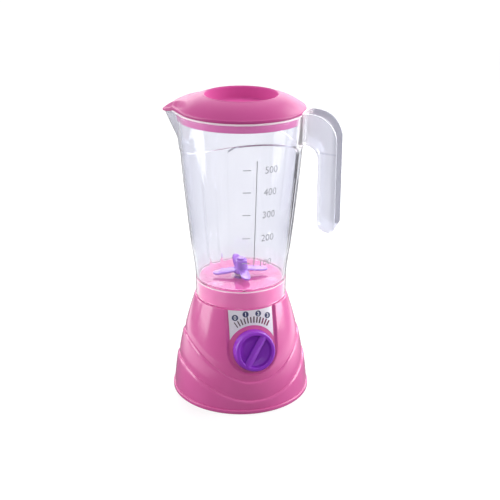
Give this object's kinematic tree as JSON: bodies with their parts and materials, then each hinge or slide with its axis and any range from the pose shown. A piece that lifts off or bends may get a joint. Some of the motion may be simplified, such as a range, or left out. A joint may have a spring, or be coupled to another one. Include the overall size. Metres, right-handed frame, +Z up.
{
  "type": "toy blender",
  "caption": "Child's play blender: flared base with a speed knob, clear handled jug with a spout and volume scale, spinning blade and domed lid.",
  "frame": {"origin": "on the resting face of the base, below the drive spindle's axis", "axes": "+Z up along the spindle, -Y towards the control knob, +X to the right of the knob"},
  "size_m": [0.1287, 0.1154, 0.249],
  "materials": {
    "pink_plastic": "moulded pink, satin gloss",
    "lid_plastic": "moulded pink, fine satin",
    "violet_plastic": "moulded violet, satin gloss",
    "blade_plastic": "translucent violet, polished",
    "clear_plastic": "clear moulded plastic, polished",
    "label_silver": "printed silver foil label",
    "white_plastic": "natural white acetal",
    "black_plastic": "black moulded",
    "zinc_steel": "zinc plated",
    "shaft_steel": "ground steel",
    "motor_steel": "drawn steel can",
    "contact_metal": "nickel plated spring steel",
    "brass_contact": "bright brass",
    "magnet": "sintered ferrite",
    "armature_copper": "laminations with copper windings",
    "cell_case": "plain lacquered steel, unmarked",
    "lead_red": "red insulation",
    "lead_blue": "blue insulation",
    "seal_rubber": "soft translucent silicone"
  },
  "bodies": {
    "base": {"base_housing": "pink_plastic", "bottom_cover": "pink_plastic", "cover_screws": "zinc_steel", "battery_cell_1": "cell_case", "battery_cell_2": "cell_case", "contact_springs": "contact_metal", "contact_plates": "contact_metal", "lead_black": "black_plastic", "lead_red": "lead_red", "lead_blue": "lead_blue", "motor_bracket": "white_plastic", "bracket_screws": "zinc_steel", "motor_can": "motor_steel", "motor_end_cap": "white_plastic", "motor_magnets": "magnet", "lower_bush": "white_plastic", "upper_bush": "white_plastic", "dial_label": "label_silver", "switch_body": "black_plastic", "switch_contacts": "brass_contact"},
    "battery_door": {"battery_door": "pink_plastic", "door_screw": "zinc_steel"},
    "motor_rotor": {"motor_armature": "armature_copper", "motor_shaft": "shaft_steel", "motor_pinion": "brass_contact"},
    "spindle": {"drive_spindle": "shaft_steel", "spindle_gear": "white_plastic", "drive_coupler": "white_plastic"},
    "knob": {"knob": "violet_plastic", "knob_shaft": "white_plastic", "switch_rotor": "white_plastic"},
    "jug": {"jug": "clear_plastic", "jug_handle": "clear_plastic", "floor_bush": "white_plastic", "shaft_seal": "seal_rubber"},
    "blade": {"blade_impeller": "blade_plastic", "blade_shaft": "shaft_steel", "driven_coupler": "blade_plastic"},
    "lid": {"lid": "lid_plastic"}
  },
  "joints": [
    {"name": "spindle_spin", "type": "hinge", "parent": "base", "child": "spindle", "pos_m": [0, 0, 0.07], "axis": [0, 0, 1], "continuous": true},
    {"name": "motor_spin", "type": "hinge", "parent": "base", "child": "motor_rotor", "pos_m": [0, 0.015, 0.04], "axis": [0, 0, 1], "continuous": true},
    {"name": "blade_spin", "type": "hinge", "parent": "jug", "child": "blade", "pos_m": [0, 0, 0.105], "axis": [0, 0, 1], "continuous": true},
    {"name": "knob_turn", "type": "hinge", "parent": "base", "child": "knob", "pos_m": [0, -0.04511, 0.0515], "axis": [0, -0.9613, 0.2756], "range_deg": [0, 58]},
    {"name": "jug_lift", "type": "slide", "parent": "base", "child": "jug", "axis": [0, 0, 1], "range_m": [0, 0.05]},
    {"name": "lid_lift", "type": "slide", "parent": "jug", "child": "lid", "axis": [0, 0, 1], "range_m": [0, 0.03]},
    {"name": "battery_door_off", "type": "slide", "parent": "base", "child": "battery_door", "axis": [0, 0, -1], "range_m": [0, 0.03]}
  ],
  "couplings": [
    {"joint": "motor_spin", "follows": "spindle_spin", "ratio": -4},
    {"joint": "blade_spin", "follows": "spindle_spin", "ratio": 1}
  ]
}
